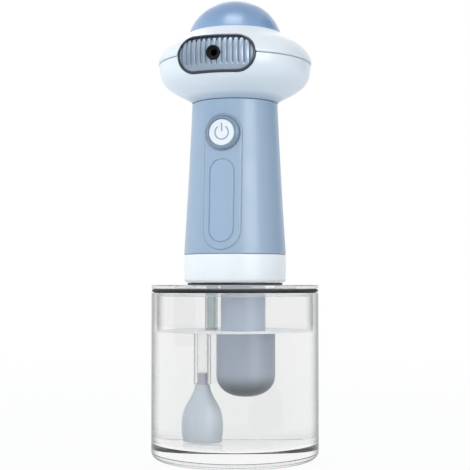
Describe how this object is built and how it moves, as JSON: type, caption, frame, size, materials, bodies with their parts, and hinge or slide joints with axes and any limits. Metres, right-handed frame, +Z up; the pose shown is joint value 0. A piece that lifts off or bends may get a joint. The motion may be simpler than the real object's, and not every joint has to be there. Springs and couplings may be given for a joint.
{
  "type": "pet foam shampoo dispenser",
  "caption": "Electric foam dispenser for pet shampoo: clear round jar, tapered grip with push button, mushroom head with a front foam nozzle, battery well and pickup tube hanging in the jar.",
  "frame": {"origin": "centre of the jar's flat foot, on the surface that it stands on", "axes": "+Z is up from the jar through the handle to the dome; -Y is the front, where the nozzle, the button and the grip are; +X is to the right seen from the front"},
  "size_m": [0.09, 0.09, 0.2471],
  "materials": {
    "clear_jar": "gloss",
    "gasket_rubber": "matte",
    "collar_white": "satin",
    "handle_blue": "satin",
    "panel_blue": "satin",
    "grip_blue": "matte",
    "bezel_silver": "satin",
    "button_white": "gloss",
    "head_white": "gloss",
    "dome_blue": "gloss",
    "frame_slate": "satin",
    "grille_silver": "satin",
    "nozzle_black": "satin",
    "well_grey": "satin",
    "tube_clear": "gloss",
    "hose_clear": "satin",
    "spigot_lilac": "satin",
    "bulb_lilac": "matte",
    "inner_cream": "satin",
    "screw_steel": "satin",
    "motor_metal": "satin",
    "cell_metal": "satin",
    "board_green": "satin"
  },
  "bodies": {
    "bottle": {"jar_cup": "clear_jar", "jar_shoulder": "clear_jar", "base_gasket": "gasket_rubber"},
    "pump_unit": {"neck_gasket": "gasket_rubber", "well_seal": "gasket_rubber", "cell_cushion": "gasket_rubber", "shaft_seal": "gasket_rubber", "air_valve": "gasket_rubber", "handle_shell": "handle_blue", "control_panel": "panel_blue", "grip_inlay": "grip_blue", "button_bezel": "bezel_silver", "head_lower_shell": "head_white", "head_upper_shell": "head_white", "dome": "dome_blue", "nozzle_frame": "frame_slate", "nozzle_plate": "grille_silver", "foam_nozzle": "nozzle_black", "tact_switch": "nozzle_black", "battery_well": "well_grey", "closure_flange": "well_grey", "base_plate": "well_grey", "pump_bracket": "well_grey", "pickup_tube": "tube_clear", "suction_hose": "hose_clear", "foam_hose": "hose_clear", "pickup_spigot": "spigot_lilac", "inlet_screen": "spigot_lilac", "filter_bulb": "bulb_lilac", "well_lid": "inner_cream", "gear_pump_body": "inner_cream", "gear_pump_cover": "inner_cream", "mixing_chamber": "inner_cream", "closure_screw_1": "screw_steel", "closure_screw_2": "screw_steel", "closure_screw_3": "screw_steel", "closure_screw_4": "screw_steel", "pump_screw_1": "screw_steel", "pump_screw_2": "screw_steel", "bracket_screw_1": "screw_steel", "bracket_screw_2": "screw_steel", "bracket_screw_3": "screw_steel", "board_screw_1": "screw_steel", "board_screw_2": "screw_steel", "idler_pin": "screw_steel", "charge_port": "screw_steel", "foam_mesh_1": "screw_steel", "foam_mesh_2": "screw_steel", "motor_can": "motor_metal", "battery_cell": "cell_metal", "control_board": "board_green", "charge_board": "board_green"},
    "collar": {"collar": "collar_white"},
    "rotor": {"motor_shaft": "screw_steel", "drive_gear": "inner_cream"},
    "idler": {"driven_gear": "inner_cream"},
    "button": {"button_cap": "button_white", "button_boot": "gasket_rubber"},
    "cover": {"port_cover": "handle_blue"}
  },
  "joints": [
    {"name": "unit_lift", "type": "slide", "parent": "bottle", "child": "pump_unit", "axis": [0, 0, 1], "range_m": [0, 0.118]},
    {"name": "collar_turn", "type": "hinge", "parent": "pump_unit", "child": "collar", "pos_m": [0, 0, 0.1], "axis": [0, 0, -1], "range_deg": [0, 45]},
    {"name": "button_press", "type": "slide", "parent": "pump_unit", "child": "button", "axis": [0, 1, 0], "range_m": [0, 0.0008], "stiffness_N_per_m": 600, "springref_m": -0.001},
    {"name": "motor_spin", "type": "hinge", "parent": "pump_unit", "child": "rotor", "pos_m": [0.003, -0.005, 0.122], "axis": [0, 0, 1], "continuous": true},
    {"name": "driven_spin", "type": "hinge", "parent": "pump_unit", "child": "idler", "pos_m": [0.003, 0.005, 0.122], "axis": [0, 0, 1], "continuous": true},
    {"name": "port_cover_swing", "type": "hinge", "parent": "pump_unit", "child": "cover", "pos_m": [0, 0.02555, 0.1415], "axis": [-1, 0, 0], "range_deg": [0, 100]}
  ],
  "couplings": [
    {"joint": "driven_spin", "follows": "motor_spin", "ratio": -1}
  ]
}
